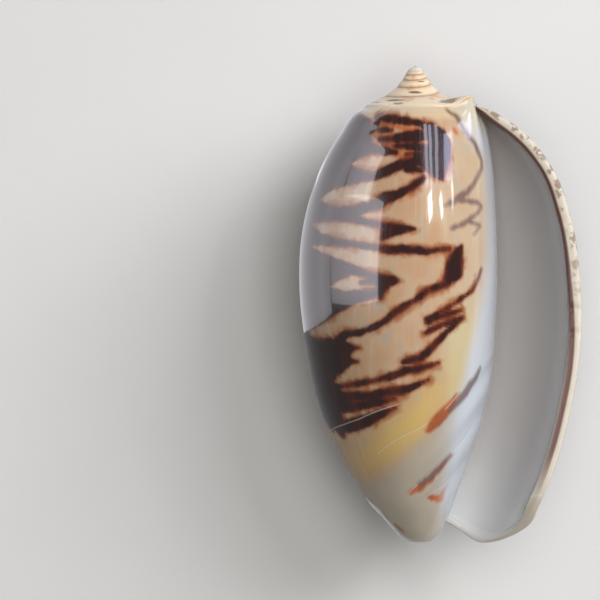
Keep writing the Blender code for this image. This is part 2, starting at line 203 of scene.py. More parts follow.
# Markings on the back, seen from the back and a little from the left. Across is counted away from the lip.
BACK_VIEW_ANGLE = 161.0
BACK_INK = [
    (-4.5, 44.3, 1.5, -4.4, 43.3, 2.3, -4.6, 42.2, 1.9, -4.6, 41, 1.9, -4.7, 40, 2.4, -4.9, 39, 2.8,
     -5.2, 38, 2.9, -4.8, 37.2, 2.5, -4.9, 36.5, 1.6),
    (-5.4, 42.6, 0.7, -6.4, 42.7, 0.4),
    (-3.4, 43.35, 0.6, -2, 43.45, 0.5, -0.8, 43.6, 0.6, 0.2, 43.9, 0.8),
    (-3.6, 41.8, 0.6, -2.4, 41.8, 0.35),
    (-3.4, 40.3, 0.7, -2.2, 40.35, 0.4, -1.4, 40.4, 0.2),
    (-3, 39.3, 0.6, -1.8, 39.3, 0.5, -1, 39.2, 0.4),
    (-10.6, 35, 0.8, -9.2, 35.2, 0.7, -7.6, 35.75, 0.55, -6.3, 36.15, 0.6, -5.2, 36.45, 0.9),
    (-10.4, 34.6, 0.5, -8.4, 34.7, 0.35, -7.4, 34, 0.5, -6.5, 33.4, 0.75, -5.8, 33.05, 0.8),
    (-6.4, 33.1, 0.6, -7.5, 32.65, 0.8, -8.6, 32.1, 0.85, -9.4, 32, 0.35),
    (-8.6, 31.8, 0.4, -6.6, 31.6, 0.3, -5.7, 31.3, 0.75, -5.1, 31, 0.95, -4.7, 31.2, 0.4),
    (-5.3, 30.9, 0.6, -6.2, 30.5, 0.6, -7.4, 30.1, 0.7, -8.5, 29.5, 0.55),
    (-8.2, 29.5, 0.5, -7, 29.3, 0.45, -6, 28.9, 0.95, -5.2, 28.8, 0.7, -4.85, 28.4, 0.3),
    (-5.8, 28.4, 0.7, -7.2, 27.65, 0.8, -8.5, 27, 0.9, -9.6, 26.7, 0.7),
    (-8.6, 26.7, 0.6, -7.7, 26.7, 0.5, -6.9, 26.6, 0.25),
    (-9.6, 26.4, 0.6, -10.5, 25.75, 0.75, -12, 25.5, 0.9),
    (-10.2, 25.7, 0.6, -8.9, 25.5, 0.6, -7.5, 25.1, 0.7, -6, 24.65, 0.6, -5, 24.3, 0.6, -4.1, 23.8, 0.7,
     -3.8, 23.5, 0.4),
    (-4.2, 23.6, 0.7, -4.8, 23, 1.2, -5.3, 22.3, 1, -6.4, 21.5, 1, -7.4, 21.5, 0.45),
    (-6, 21.5, 0.8, -4.6, 20.9, 0.8, -3.3, 20.45, 0.95, -2.35, 20.05, 0.45),
    (-3.2, 20.1, 0.8, -4.6, 19.3, 0.8, -5.6, 18.6, 0.9, -6.3, 17.7, 1.1, -7, 16.8, 0.9, -7.6, 15.8, 1,
     -8.3, 15, 1.1, -9.6, 14.3, 0.9),
    (-2.9, 14.95, 0.55, -3.8, 14.5, 0.5, -5.2, 13.75, 0.5, -6.4, 13, 0.4, -8.4, 12.35, 0.6),
    (-8.2, 12.3, 0.6, -6.8, 12.25, 0.5, -5, 12.2, 0.5, -3.4, 12, 0.6, -2.5, 11.7, 0.5),
    (-2.8, 11.6, 0.8, -3.3, 11.2, 0.8, -4.4, 10.55, 0.6, -5.6, 9.8, 0.5, -6.8, 9.05, 0.65),
    (-6.6, 9, 0.6, -4.5, 9.2, 0.5, -2.5, 9.6, 0.5, -0.8, 9.7, 0.6, 0.9, 9.35, 0.6, 1.1, 9.1, 0.35),
    (0.7, 9.1, 0.8, 0.1, 8.6, 0.75, -0.9, 8, 0.6, -2, 7.2, 0.5, -3.2, 6.4, 0.45),
    (-3.4, 6.1, 0.5, -1.8, 5.75, 0.65, -0.5, 6.3, 0.6, 0.7, 6.8, 0.3),
    (-9.5, 10, 1.4, -9.4, 8.4, 1.6, -8.2, 7.3, 1.1, -6.8, 6.6, 1.2, -5.5, 5.9, 0.9, -4.2, 5.7, 0.7),
    (0.2, 44.4, 0.7, 1.2, 44.7, 0.6, 2.4, 44.6, 0.4),
    (1.1, 43.2, 1.4, 1.4, 42, 2.6, 1.6, 40.5, 3, 1.8, 39, 3.2, 1.6, 38, 2.4, 1.8, 36.9, 1.2, 1.8, 35.9, 0.8,
     1.7, 35.2, 0.4),
    (2.8, 34, 0.5, 3, 33.4, 0.4),
    (1.4, 31.8, 1, 2.3, 31.3, 1.6, 3.4, 31.2, 1.3, 4, 31.4, 0.6),
    (2.4, 30.4, 1.4, 3, 29.4, 1.4, 4.3, 28.95, 0.9, 4.7, 29, 0.4),
    (2.6, 28.8, 1.2, 2.9, 27.9, 1, 3.7, 27.3, 1, 4.8, 27, 0.8, 5.4, 27.15, 0.4),
    (4.3, 26.6, 0.8, 3.6, 25.8, 0.9, 2.6, 25.3, 1.2, 1.5, 24.8, 1, 0.9, 24.7, 0.5),
    (1.9, 24.8, 1.6, 1.9, 23.8, 2.2, 2.2, 22.6, 2.5, 2, 21.5, 1.6, 1.8, 20.95, 0.7),
    (3.3, 23.6, 1.2, 3.3, 22.9, 1.1),
    (2.2, 20.4, 0.5, 3, 20.3, 1.4, 4, 21.4, 1.4, 4.6, 22.2, 1, 5.5, 22.5, 0.5),
    (5.2, 20.6, 0.7, 4.4, 19.9, 1, 3.3, 19, 0.9, 2.5, 18.2, 0.5),
    (1.3, 17.55, 0.4, 2, 17.7, 0.75, 3, 17.6, 1, 4.2, 17.6, 1.3, 5.2, 17.65, 0.9, 5.6, 17.6, 0.3),
    (4.2, 17, 1.4, 3.4, 16.2, 1.5, 3, 15.2, 1.4, 2.1, 15.1, 0.6),
    (3.4, 15.2, 1.4, 4.6, 15.2, 1.2, 5.7, 15.3, 0.6),
    (3.2, 14.4, 1.6, 4.2, 13.7, 1.9, 5, 13.2, 1.4, 3.6, 13.2, 1.2),
    (5.2, 11.9, 0.9, 3.8, 12, 0.7, 2.4, 11.6, 0.5, 1.6, 11.4, 0.3),
    (5.2, 10.3, 0.9, 4.8, 10.2, 0.5),
    (-0.2, 5.1, 0.25, 1.4, 5.9, 0.45, 2.5, 6.5, 0.6, 4.3, 7.3, 0.5),
    (2.2, 5.7, 0.4, 3, 6, 0.55, 3.8, 6.4, 0.4),
]
BACK_RUST = [
    (-5.9, 43.6, 0.4, -6.8, 42.6, 0.5, -6.2, 41.6, 0.6, -7, 40.9, 0.5),
    (-7.6, 39.8, 0.6, -6.6, 39.9, 0.7),
    (-6.6, 37.4, 0.5, -6.4, 36.9, 0.6),
    (-3, 43.7, 0.5, -1.4, 43.2, 0.4),
    (-3, 41.8, 0.7, -2, 41.7, 0.7, -1.1, 41.6, 0.5),
    (-2.4, 39.3, 1, -1.3, 39.2, 0.9),
    (-1.9, 36.6, 0.5, -1.5, 36.1, 0.9, -1.2, 35.6, 0.6),
    (-2, 34.4, 0.6, -1.5, 34.3, 0.8, -1.2, 34.2, 0.6),
    (-1.4, 32.4, 0.5, -1.1, 31.9, 0.6, -0.8, 31.4, 0.4),
    (-0.1, 29.5, 0.45, 0.5, 28.9, 0.5),
    (0.3, 27, 0.5, 0.8, 26.9, 0.6),
    (0, 17.25, 0.25, 0.7, 17.3, 0.4, 1.4, 17.5, 0.4),
    (0.7, 11.05, 0.2, 1.6, 11.3, 0.35, 2.4, 11.6, 0.4),
    (5.2, 22.5, 0.5, 5.9, 22.5, 0.4, 6.5, 22.7, 0.3),
    (-10.9, 26.8, 0.35, -10.2, 26.8, 0.5),
    (-2.4, 7.1, 0.8, -1.2, 8, 0.7),
]
# Borders of the dark side, as (height, across) or (angle, height), and of the dark field on the back near the
# lip, as (height, across) and (height, angle).
SIDE_BACK = [(45.4, 4.6), (43.4, 5.4), (41.6, 5.2), (40.2, 6.4), (39.2, 6), (37.5, 6.5), (36.2, 5.9),
    (34.5, 6.4), (32.2, 6.2), (31, 6.6), (29.2, 6.5), (27.5, 7), (25.6, 7.4), (23, 7), (21.4, 7.7),
    (20, 7.4), (17.5, 7.2), (16.2, 7.8), (15, 7.5), (12.4, 8), (10.4, 8.4)]
SIDE_FRONT = [(45.4, -7), (44.7, -5.6), (44.1, -4.4), (43.7, -4.9), (42.6, -4.8), (42, -4.4), (41.8, -5.4),
    (41.5, -4.6), (40.5, -4.8), (39.6, -7.2), (38.9, -4.8), (38, -5), (37.5, -6.6), (37.1, -8.4),
    (36.4, -9.6), (35.8, -10.1), (35.2, -8.4), (34.5, -7.4), (33.8, -8), (33.45, -10.8), (32.5, -10),
    (32, -8.6), (31.4, -7.4), (31.12, -11.1), (30.6, -10.3), (30, -8.9), (29.2, -7.4), (28.6, -6.8),
    (28.2, -6.8), (27.7, -7.8), (26.8, -9), (26.3, -7.2), (25.4, -7.2), (24, -9), (22.5, -11), (22, -11.5),
    (21.6, -10.9), (21.3, -8.4), (20.8, -6.6), (20.4, -5.9), (20.1, -6.6), (19.6, -6.9), (19.1, -6.2),
    (18.7, -6.9), (18, -7.5), (17.5, -8.2), (16.9, -8.6), (16.2, -8), (15, -7.9), (13.5, -8), (11.9, -8.2),
    (11.2, -8.7), (10.4, -9.2)]
SIDE_FOOT = [(40, 11), (60, 11.5), (72, 12.3), (78, 11.6), (88, 12.9), (95, 12.2), (108, 13.4), (116, 12.6),
    (130, 13.6)]
LIP_FIELD = [(45.6, -4.6), (44.9, -5.9), (44.3, -5.6), (43, -6.9), (41, -8.1), (39.9, -9.2), (38.2, -10.2),
    (37.1, -11.3), (35.6, -12.3), (32, -12), (28, -11.95), (26, -11.8), (25.4, -11.5), (24.2, -11.8),
    (23.1, -11.4), (22.2, -10.8), (21.2, -11.1), (20.4, -10.9), (19.4, -10), (18.2, -10.8), (17, -10.9),
    (15.6, -10.7), (14.4, -9.2), (13.4, -10.2), (12.4, -9.7), (11.4, -9), (9.2, -8.9), (7.8, -7.8),
    (6.6, -6.6), (5.6, -5), (4.4, -4.6), (3.4, -5.4), (2.4, -5.2), (1.2, -7.2), (0, -8.2)]
LIP_FIELD_END = [(50, 262), (44.6, 262), (43.6, 276), (41.9, 266), (40.6, 280), (38.5, 270), (36.9, 279),
    (35.2, 266), (33.6, 277), (31, 271), (29.4, 281), (27.2, 269), (25.1, 275), (23.4, 266), (21.6, 279),
    (19, 268), (17.3, 274), (15.4, 263), (13.2, 272), (11.5, 259), (9.4, 268), (7, 252), (5.2, 262),
    (3, 248), (0, 240)]
# These grooves also get the bump and the painted white highlight along them.
BACK_GROOVES = [
    (-7.9, 2, 0.08, -5.5, 3.2, 0.14, -3, 4.4, 0.16, -1, 5.6, 0.2, 1.5, 6.8, 0.22, 3.3, 7.7, 0.2,
     4.8, 8.6, 0.16),
    (-2.6, 3.9, 0.08, -0.5, 4.6, 0.12, 1.5, 5.3, 0.12),
]


def smoothstep(x):
    """0 below 0, 1 above 1, and smooth between."""
    x = np.clip(x, 0.0, 1.0)
    return x * x * (3.0 - 2.0 * x)


def curve(points, x):
    """The smooth curve through the points, read at x."""
    px, py = np.array(points, float).T
    slope = np.gradient(py, px)
    x = np.clip(x, px[0], px[-1])
    i = np.clip(np.searchsorted(px, x, side="right") - 1, 0, len(px) - 2)
    span = px[i + 1] - px[i]
    t = (x - px[i]) / span
    start = (1 + 2 * t) * (1 - t) ** 2 * py[i] + t * (1 - t) ** 2 * span * slope[i]
    return start + t * t * (3 - 2 * t) * py[i + 1] + t * t * (t - 1) * span * slope[i + 1]


def straight(points, x):
    """The straight lines through the points, read at x."""
    return np.interp(x, *np.array(points, float).T)


def from_angle(angle, start):
    """How many degrees the angle lies from the start, the shorter way round."""
    return (angle - start + TURN / 2) % TURN - TURN / 2


def near_lip(column):
    """1 at the lip's columns, 0 where they are far from it."""
    return 1.0 - smoothstep(np.abs(from_angle(column, LIP_ANGLE)) / LIP_REACH)


def angle_of(column, height):
    """The true growth angle of a column at a height: columns lean to follow the lip's edge."""
    return column + curve(LIP_SHIFT, height) * near_lip(column)


def spiral_radius(angle, height):
    """The radius of the outside, from the outlines at each quarter turn."""
    inner = curve(COLUMELLA_SIDE, height)
    left = curve(LEFT_SIDE, height)
    lip = curve(LIP_SIDE, height)
    stations = np.stack([
        inner * inner / left,
        inner * np.sqrt(inner / left),
        inner,
        np.sqrt(inner * left),
        left,
        np.sqrt(left * lip),
        lip,
        lip * np.sqrt(lip / left),
        lip * lip / left,
    ])
    first = -3 * QUARTER
    place = (angle - first) / QUARTER
    i = np.clip(np.floor(place).astype(int), 0, len(stations) - 2)
    t = place - i
    before = np.maximum(i - 1, 0)
    after = np.minimum(i + 2, len(stations) - 1)
    value = [np.take_along_axis(stations, k[None], axis=0)[0] for k in (before, i, i + 1, after)]
    a, b, c, d = value
    return b + 0.5 * t * (c - a + t * (2 * a - 5 * b + 4 * c - d + t * (3 * (b - c) + d - a)))


def shoulder_radius(angle):
    """The closed ring where the body meets the spire, wider on the side of the mouth."""
    return curve(SPIRE, SHOULDER_HEIGHT) + RING_BULGE * near_lip(angle)


def callus(angle, height):
    """How strongly the callus ridge shows, from 0 to 1."""
    away = from_angle(angle, CALLUS_ANGLE) / CALLUS_WIDTH
    reach = np.where(height < SHOULDER_HEIGHT, CALLUS_REACH, CALLUS_SHELF)
    along = np.abs(SHOULDER_HEIGHT - height) / reach
    return np.exp(-away ** 2) * np.exp(-along ** 1.5)


def outside_radius(column, height):
    """The radius of the outside, with the shoulder's ring at the top and the blunt tip at the bottom."""
    angle = angle_of(column, height)
    radius = spiral_radius(angle, height)
    to_ring = smoothstep((height - RING_START) / (SHOULDER_HEIGHT - RING_START)) ** 2
    radius = radius + (shoulder_radius(angle) - radius) * to_ring
    to_foot = smoothstep((FOOT_BLEND_HEIGHT - height) / (FOOT_BLEND_HEIGHT - FOOT_HEIGHT))
    to_foot = to_foot * (1.0 - smoothstep((column - NOTCH_ANGLE) / FOOT_FADE))
    radius = radius + (curve(FOOT, height) - radius) * to_foot
    return radius + CALLUS_HEIGHT * callus(angle, height)


def hollow_share(column, height):
    """1 in the open hollow, 0 where it ends: at its roof, its floor and its deep end."""
    roof = (curve(ROOF, column) - height) / ROOF_ROUNDING
    floor = np.where(column < NOTCH_ANGLE, curve(FLOOR, column), curve(WALL_FOOT, column))
    lift = FLOOR_ROUNDING * smoothstep((column - NOTCH_ANGLE) / NOTCH_OPENING)
    up = (height - floor + lift) / FLOOR_ROUNDING
    deep = (column - DEEP_ANGLE) / DEEP_ROUNDING
    share = np.ones_like(height)
    for x in (roof, up, deep):
        share = share * np.sqrt(1.0 - (1.0 - np.clip(x, 0.0, 1.0)) ** 2)
    return share


def place(column, radius, height):
    """Points in the frame, in millimetres, as rows of x, y, z. The shell lies with its axis level."""
    angle = angle_of(column, height)
    rise = CALLUS_RISE * callus(angle, height) * smoothstep((height - 43.0) / 2.8)
    angle = np.radians(angle)
    lean = FOOT_LEAN * smoothstep(1.0 - height / FOOT_LEAN_HEIGHT)
    x = AXIS_X + lean - radius * np.sin(angle)
    z = AXIS_HEIGHT + radius * np.cos(angle)
    y = height + rise - MIDDLE
    return np.stack([x, y, z], axis=-1)


# Where the markings lie on the spiral sheet.

VIEW_ROUNDS = 12
STEEPEST_SINE = 0.985


def seen_angle(across, height, view_angle):
    """The growth angle of a point that a view from view_angle sees at a distance across from the axis."""
    angle = np.full_like(height, view_angle)
    for _ in range(VIEW_ROUNDS):
        sine = np.clip(across / spiral_radius(angle, height), -STEEPEST_SINE, STEEPEST_SINE)
        angle = view_angle - np.degrees(np.arcsin(sine))
    return angle


def on_sheet(strokes, view_angle):
    """Strokes as arrays of growth angle, height and half width."""
    placed = []
    for stroke in strokes:
        across, height, width = np.reshape(stroke, (-1, 3)).T
        placed.append(np.stack([seen_angle(across, height, view_angle), height, width / 2], axis=1))
    return placed


def segment(angle, height, radius, start, end):
    """For each point: its place along a segment as a share, its distance, and its signed side distance."""
    start_around = np.radians(start[0]) * radius
    step_around, step_height = np.radians(end[0]) * radius - start_around, end[1] - start[1]
    off_around, off_height = np.radians(angle) * radius - start_around, height - start[1]
    length = np.hypot(step_around, step_height) + 1e-9
    share = np.clip((off_around * step_around + off_height * step_height) / length ** 2, 0.0, 1.0)
    away = np.hypot(off_around - share * step_around, off_height - share * step_height)
    return share, away, (off_around * step_height - off_height * step_around) / length


def stroke_distance(angle, height, strokes, far=3.0):
    """The signed distance in millimetres to the nearest stroke, and far where none is near."""
    radius = spiral_radius(angle, height)
    best = np.full(angle.shape, far)
    span = far / radius.mean() * 90.0 + 6.0
    for stroke in strokes:
        close = (height > stroke[:, 1].min() - far) & (height < stroke[:, 1].max() + far)
        close &= (angle > stroke[:, 0].min() - span) & (angle < stroke[:, 0].max() + span)
        if not close.any():
            continue
        nearest = best[close]
        for start, end in zip(stroke, stroke[1:]):
            share, away, _ = segment(angle[close], height[close], radius[close], start, end)
            nearest = np.minimum(nearest, away - start[2] - share * (end[2] - start[2]))
        best[close] = nearest
    return best


def thin_lines(angle, height, strokes, shown=0.6, reach=1.6):
    """The distance to the nearest thin line, with a sign for its side, and a mask that is 1 near a line."""
    radius = spiral_radius(angle, height)
    signed = np.full(angle.shape, reach)
    nearest = np.full(angle.shape, reach)
    for stroke in strokes:
        for start, end in zip(stroke, stroke[1:]):
            _, away, side = segment(angle, height, radius, start, end)
            signed = np.where(away < nearest, side, signed)
            nearest = np.minimum(away, nearest)
    return np.clip(signed, -reach, reach), smoothstep((shown - nearest) / (0.6 * shown))


def border(points, view_angle=None):
    """A border as rows of angle, height and a width of 0, from points seen in a view or given by angle."""
    height, angle = np.array(sorted(points), float).T
    if view_angle is not None:
        angle = seen_angle(angle, height, view_angle)
    return np.stack([angle, height, np.zeros_like(height)], axis=1)


def border_distance(angle, height, line, far=3.0):
    """The distance in millimetres to a border, positive on the side of the larger angles."""
    away = stroke_distance(angle, height, [line], far)
    return np.where(angle > np.interp(height, line[:, 1], line[:, 0]), away, -away)


def ink_distance(angle, height):
    """The signed distance to the dark markings: strokes, the dark side and the dark field near the lip."""
    strokes = on_sheet(FRONT_INK, 0.0) + on_sheet(BACK_INK, BACK_VIEW_ANGLE)
    ink = stroke_distance(angle, height, strokes)
    side = np.maximum(-border_distance(angle, height, border(SIDE_FRONT, 0.0)),
                      border_distance(angle, height, border(SIDE_BACK, BACK_VIEW_ANGLE)))
    side = np.maximum(side, straight(SIDE_FOOT, angle) - height)
    field = np.maximum(-border_distance(angle, height, border(LIP_FIELD, BACK_VIEW_ANGLE)),
                       border_distance(angle, height, border(LIP_FIELD_END)))
    return np.minimum(ink, np.minimum(side, field))


def ridge(x, width):
    """A smooth bump of height 1 around 0."""
    return np.exp(-(x / width) ** 2)


def front_across(angle, height):
    """How far a point on the mouth side lies from the axis, as the main view sees it."""
    return -spiral_radius(angle, height) * np.sin(np.radians(angle))


def line_side(across, height, line):
    """How far in millimetres a point lies above a line given as (across, height) on the mouth side."""
    at, level = np.array(line, float).T
    slope = np.gradient(level, at)
    here = np.interp(across, at, level)
    return (height - here) / np.sqrt(1.0 + np.interp(across, at, slope) ** 2)


# Brown spots on the spire as (angle, height, half width in degrees, half height in mm).
SPIRE_SPOTS = [(32, 46.3, 14, 0.11), (2, 47.15, 14, 0.13), (22, 45.95, 6, 0.1), (-38, 46.1, 9, 0.17),
    (-22, 48.3, 14, 0.06), (64, 46.1, 12, 0.08), (98, 46.5, 10, 0.2), (150, 47, 18, 0.14),
    (176, 46.2, 14, 0.1), (214, 47.3, 22, 0.12), (228, 46.3, 9, 0.2), (262, 48, 14, 0.1)]


def spire_spots(angle, height):
    """How far a point lies from the nearest spire spot, as a share of the spot's size: below 0 inside it."""
    best = np.full(angle.shape, 3.0)
    for at, level, wide, tall in SPIRE_SPOTS:
        away = np.hypot(from_angle(angle, at) / wide, (height - level) / tall)
        best = np.minimum(best, away - 1.0)
    return best


# The seams of the spire's whorls: their height on the mouth side, one turn apart.
SEAM_TURNS = [-0.2, 0.8, 1.8, 2.8, 3.8, 4.8, 5.8, 6.8, 8.0]
SEAM_HEIGHTS = [44.4, 45.8, 47.2, 48.05, 48.7, 49.15, 49.5, 49.75, 50.0]
SEAM_DIP = 0.5


def seam(angle, height):
    """The place within a spire whorl, from 0 at one seam to 1 at the next, and the whorl's height there."""
    level = height + SEAM_DIP * np.cos(np.radians(angle)) * smoothstep((50.4 - height) / 4.0)
    turns = np.interp(level, SEAM_HEIGHTS, SEAM_TURNS) + (angle - LIP_ANGLE) / TURN
    size = np.interp(level, SEAM_HEIGHTS, np.gradient(SEAM_HEIGHTS))
    return turns - np.floor(turns), size


def seam_distance(angle, height):
    """How far a point lies from the nearest seam along the axis, in millimetres."""
    part, size = seam(angle, height)
    return np.minimum(part, 1.0 - part) * size


# Where the lower band (the fasciole) and the yellow band run on the mouth side.
YELLOW_LINE = [(-9, 7), (-6, 8.6), (-3, 10.5), (0, 12.8), (2, 15), (4, 17.5), (6, 21)]
FASCIOLE_LINE = [(-9, 4), (-2.5, 8), (1, 11.5), (3.5, 14.5), (6.5, 18.5), (8, 20.5)]
RIDGE_HEIGHT = 0.07
RIDGE_PACE = 3.1
SIDE_ANGLE = 88.0
YELLOW_WIDTH = 1.9
USUAL_RADIUS = 12.0
CALLUS_STEP = 0.12
MOUTH_STRIP = [(5, 3), (14, 4.6), (20, 5.6), (25, 6.8), (30, 7.5), (36, 7.5), (40, 7), (43, 5.4),
    (45.8, 3.6)]


def mouth_glaze(angle, height):
    """The white glaze beside the mouth: 1 on it, 0 away from it, in a blend about a millimetre wide."""
    across = front_across(angle, height)
    inwards = across - straight(MOUTH_STRIP, height)
    wide = np.where(angle < -SIDE_ANGLE, 1.0, smoothstep((inwards + 1.0) / 1.8))
    return np.where(angle < -10.0, wide, 0.0)


def relief(angle, height):
    """How far the surface stands proud of its plain form, in millimetres."""
    off_front = np.abs(angle)
    across = np.where(off_front < SIDE_ANGLE, front_across(angle, height), -12.0 * np.sign(angle))
    front = smoothstep((SIDE_ANGLE - off_front) / 20.0)
    below = -line_side(across, height, FASCIOLE_LINE)
    band = smoothstep(below / 0.8) * smoothstep((7.0 - below) / 3.0)
    ridges = RIDGE_HEIGHT * np.cos(below * RIDGE_PACE) * band
    glaze = CALLUS_STEP * mouth_glaze(angle, height) * smoothstep((height - 20.0) / 8.0)
    return ridges * front + glaze * smoothstep((SHOULDER_HEIGHT - height) / 1.5)


# Building the surface: grids of points with the same numbers for each, joined into one skin.

SHEET_NUMBERS = ("angle", "height", "margin")

# The free edge: how wide its rounded part is, and where it is chipped, as (height, depth, width) in mm.
EDGE_ARC = 1.6
CORNER_REACH = 2.2
FAR_MARGIN = 30.0
LIP_CHIPS = [(24.4, 0.30, 0.35), (21.8, 0.22, 0.30), (33.5, 0.10, 0.5), (14.0, 0.12, 0.4)]


def rows_between(low, high, count):
    """Heights from low to high for each column, slightly closer together at both ends."""
    share = np.linspace(0.0, 1.0, count + 1)
    share = 0.7 * share + 0.3 * smoothstep(share)
    return low[:, None] + (high - low)[:, None] * share[None, :]


def columns(start, end, step=COLUMN_STEP):
    return np.arange(round((end - start) / step) + 1) * step + start


def grid(at, heights, radius, inside=False):
    """Points with their growth angle, height, and margin: how far inwards they lie across the free edge."""
    angle = angle_of(at, heights)
    r = radius(at, heights)
    to_foot = np.where(at > NOTCH_ANGLE + 20.0, np.maximum(heights - curve(WALL_FOOT, at), 0.0), FAR_MARGIN)
    to_lip = np.minimum(np.radians(np.abs(at - LIP_ANGLE)) * r, to_foot)
    margin = EDGE_ARC + to_lip if inside else -to_lip
    return {"points": place(at, r, heights), "angle": angle, "height": heights, "margin": margin}


def carved_radius(at, heights):
    """The outside with its fine relief."""
    angle = angle_of(at, heights)
    return outside_radius(at, heights) + relief(angle, heights)


def inside_radius(column, height):
    """The radius of the wall's inside: the whorl within, plus the hollow."""
    within = carved_radius(column - TURN, height)
    between = outside_radius(column, height) - within
    room = np.maximum(between - WALL, 0.4 * between)
    return within + room * hollow_share(column, height)


def outer_sheet():
    """The outside of the body whorl, from the shoulder to the foot."""
    at = columns(LIP_ANGLE - TURN, LIP_ANGLE)
    low = np.where(at < NOTCH_ANGLE, FOOT_HEIGHT, curve(WALL_FOOT, at))
    heights = rows_between(low, np.full_like(at, SHOULDER_HEIGHT), OUTER_ROWS)
    return grid(np.repeat(at[:, None], heights.shape[1], axis=1), heights, carved_radius)


def wall_sheet(foot, turn, radius, inside=False):
    """One side of the hollow. Its columns are wide apart deep inside, and close where it shows."""
    deep = columns(DEEP_ANGLE, NOTCH_ANGLE, 2 * COLUMN_STEP)
    at = np.concatenate([deep[:-1], columns(NOTCH_ANGLE, LIP_ANGLE)])
    low = np.where(at < NOTCH_ANGLE, curve(FLOOR, at), curve(foot, at))
    heights = rows_between(low, curve(ROOF, at), OUTER_ROWS)
    return grid(np.repeat((at + turn)[:, None], heights.shape[1], axis=1), heights, radius, inside)


def lip_wear(height):
    """How far the lip's edge is worn back at a height, in millimetres."""
    worn = 0.03 * np.sin(height * 2.3) * np.sin(height * 0.7 + 1.0)
    for at, depth, width in LIP_CHIPS:
        worn = worn + depth * ridge(height - at, width)
    return worn


def path_length(points):
    steps = np.linalg.norm(np.diff(points, axis=0), axis=1)
    return np.concatenate([[0.0], np.cumsum(steps)])


def smoothed(values, length):
    """Values along a path, each averaged with those within a few millimetres of it."""
    share = np.gradient(length)[None, :] * ridge(length[:, None] - length[None, :], CORNER_REACH)
    return share @ values / share.sum(axis=1, keepdims=True)


def unit(vectors):
    return vectors / np.maximum(np.linalg.norm(vectors, axis=1, keepdims=True), 1e-9)


def edge_strip(outer, inner):
    """The rounded free edge: down the lip, then along the foot of the wall to the columella."""
    notch = round((LIP_ANGLE - NOTCH_ANGLE) / COLUMN_STEP)

    def free_edge(values, back):
        lip = values[-1 - back, ::-1]
        foot = values[-2:-2 - notch:-1, back]
        return np.concatenate([lip, foot])

    out_edge, in_edge = free_edge(outer["points"], 0), free_edge(inner["points"], 0)
    beyond = (out_edge - free_edge(outer["points"], 1)) + (in_edge - free_edge(inner["points"], 1))
    length = path_length(out_edge)
    beyond = unit(smoothed(unit(beyond), length))
    near_corner = ridge(length - length[OUTER_ROWS], 2.0 * CORNER_REACH)[:, None]
    thick = np.linalg.norm(out_edge - in_edge, axis=1, keepdims=True)
    height = free_edge(outer["height"], 0)
    along_lip = np.arange(len(height)) <= OUTER_ROWS
    bulge = np.where(along_lip, LIP_BULGE - lip_wear(height), LIP_BULGE)[:, None]
    bulge = beyond * bulge * np.minimum(thick / WALL, 1.0)
    shares = 0.5 - 0.5 * np.cos(np.linspace(0.0, math.pi, STRIP_ROWS + 1))
    angle = free_edge(outer["angle"], 0)
    strip = {name: [] for name in ("points",) + SHEET_NUMBERS}
    for share in shares:
        round_off = (1.0 - abs(2.0 * share - 1.0) ** 2.6) ** 0.5
        flat = out_edge + (in_edge - out_edge) * share
        rounder = (smoothed(flat, length) - flat) * near_corner
        strip["points"].append(flat + (rounder + bulge) * round_off)
        strip["angle"].append(angle)
        strip["height"].append(height)
        strip["margin"].append(np.full_like(height, share * EDGE_ARC))
    return {name: np.stack(lines) for name, lines in strip.items()}


def spire_sheet():
    """The low, pointed spire above the shoulder, with the seams of its whorls."""
    at = columns(LIP_ANGLE - TURN, LIP_ANGLE)
    share = np.linspace(0.0, 1.0, SPIRE_ROWS + 1)
    heights, at = np.meshgrid(SHOULDER_HEIGHT + (SPIRE_TOP - SHOULDER_HEIGHT) * share, at)

    def radius(at, heights):
        angle = angle_of(at, heights)
        wide = shoulder_radius(angle) / curve(SPIRE, SHOULDER_HEIGHT)
        fade = np.clip((SPIRE_ROUND - heights) / (SPIRE_ROUND - SHOULDER_HEIGHT), 0.0, 1.0)
        plain = curve(SPIRE, heights) * (1.0 + (wide - 1.0) * fade)
        plain = plain + CALLUS_HEIGHT * callus(angle, heights) * fade
        part, size = seam(angle, heights)
        swell = np.sqrt(np.clip(1.0 - (2.0 * part - 1.0) ** 2, 0.0, 1.0)) - 0.6
        swell = swell * smoothstep((heights - 46.0) / 0.4) * smoothstep((50.2 - heights) / 1.5)
        return plain + SPIRE_SWELL * swell

    return grid(at, heights, radius)


def foot_sheet():
    """The blunt tip of the columella, below the notch."""
    at = columns(NOTCH_ANGLE - TURN, NOTCH_ANGLE)
    share = np.linspace(0.0, 1.0, FOOT_ROWS + 1)[:-1]
    heights, at = np.meshgrid(FOOT_HEIGHT * (1.0 - np.sin(share * math.pi / 2)), at)
    return grid(at, heights, carved_radius)


